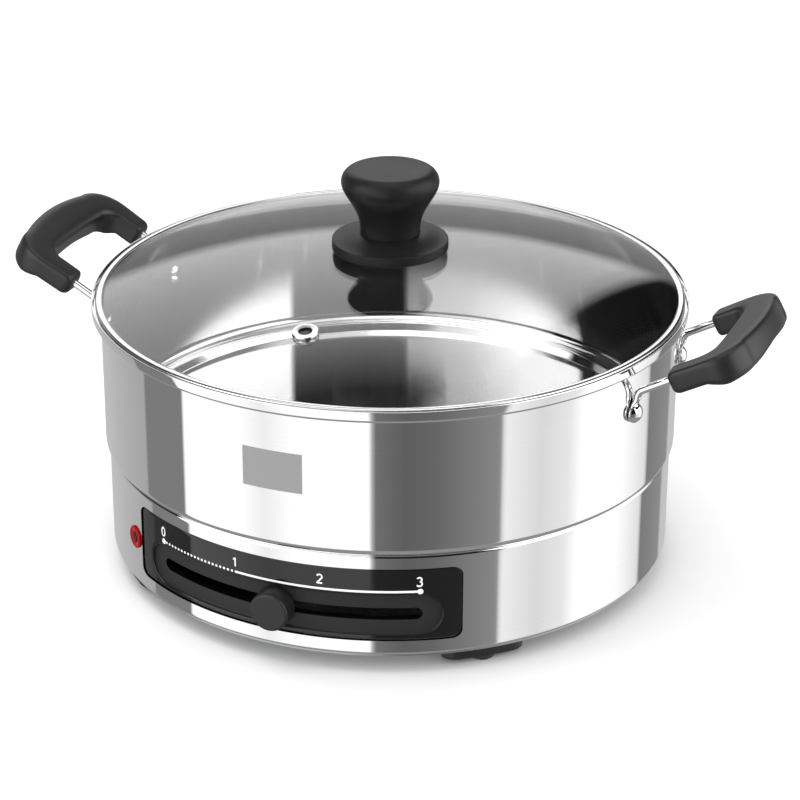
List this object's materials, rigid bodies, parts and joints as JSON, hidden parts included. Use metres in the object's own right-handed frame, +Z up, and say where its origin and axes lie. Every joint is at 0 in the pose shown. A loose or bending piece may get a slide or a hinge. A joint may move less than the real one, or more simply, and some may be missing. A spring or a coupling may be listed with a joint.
{
  "type": "electric hot pot",
  "caption": "Polished steel pot fixed on a heated base with a sliding heat control, black side grips on bent rods and a lift-off domed glass lid.",
  "frame": {"origin": "on the table under the middle of the pot", "axes": "+Z up, -Y to the front where the heat control is, the handles on both sides along X"},
  "size_m": [0.4044, 0.3073, 0.2072],
  "materials": {
    "polished_steel": "mirror-polished stainless steel",
    "plated_sheet": "zinc-plated sheet",
    "black_resin": "satin black heat-proof resin",
    "pad_rubber": "matt rubber",
    "screw_steel": "plated steel",
    "panel_gloss": "glossy black with a white printed scale",
    "brass": "turned brass",
    "steatite": "matt ceramic",
    "shield_aluminium": "rolled sheet",
    "cast_aluminium": "cast, machined on top",
    "element_sheath": "dark oxidised steel tube",
    "lamp_red": "translucent red lens",
    "lid_glass": "clear tempered glass"
  },
  "bodies": {
    "cooker": {"base_shell": "polished_steel", "bottom_plate": "plated_sheet", "feet": "black_resin", "foot_pads": "pad_rubber", "foot_screws": "screw_steel", "control_panel": "panel_gloss", "panel_studs": "screw_steel", "panel_nuts": "screw_steel", "thermostat": "steatite", "thermostat_screws": "screw_steel", "heat_shield": "shield_aluminium", "heating_plate": "cast_aluminium", "heating_element": "element_sheath", "thermal_fuse": "steatite", "fuse_clip": "plated_sheet", "tie_studs": "screw_steel", "shield_nuts": "screw_steel", "base_nuts": "screw_steel", "lamp_lens": "lamp_red", "lamp_nut": "black_resin", "inlet_socket": "black_resin", "inlet_pins": "brass", "inlet_screws": "screw_steel", "inlet_nuts": "screw_steel", "pot_floor": "polished_steel", "pot_wall": "polished_steel", "pot_rim": "polished_steel", "handle_rods_left": "polished_steel", "handle_rods_right": "polished_steel", "grip_left": "black_resin", "grip_right": "black_resin", "handle_rivets": "polished_steel"},
    "slider": {"slider_knob": "black_resin", "control_lever": "plated_sheet", "thermostat_shaft": "brass", "shaft_clip": "screw_steel"},
    "lid": {"lid_glass": "lid_glass", "lid_band": "polished_steel", "steam_eyelet": "polished_steel", "knob_seal": "pad_rubber", "knob_guard": "black_resin", "lid_knob": "black_resin", "knob_washer": "screw_steel", "knob_screw": "screw_steel"}
  },
  "joints": [
    {"name": "heat_slider", "type": "hinge", "parent": "cooker", "child": "slider", "pos_m": [0, 0, 0.0316], "axis": [0, 0, 1], "range_deg": [-27, 27]},
    {"name": "lid_lift", "type": "slide", "parent": "cooker", "child": "lid", "axis": [0, 0, 1], "range_m": [0, 0.16]}
  ]
}
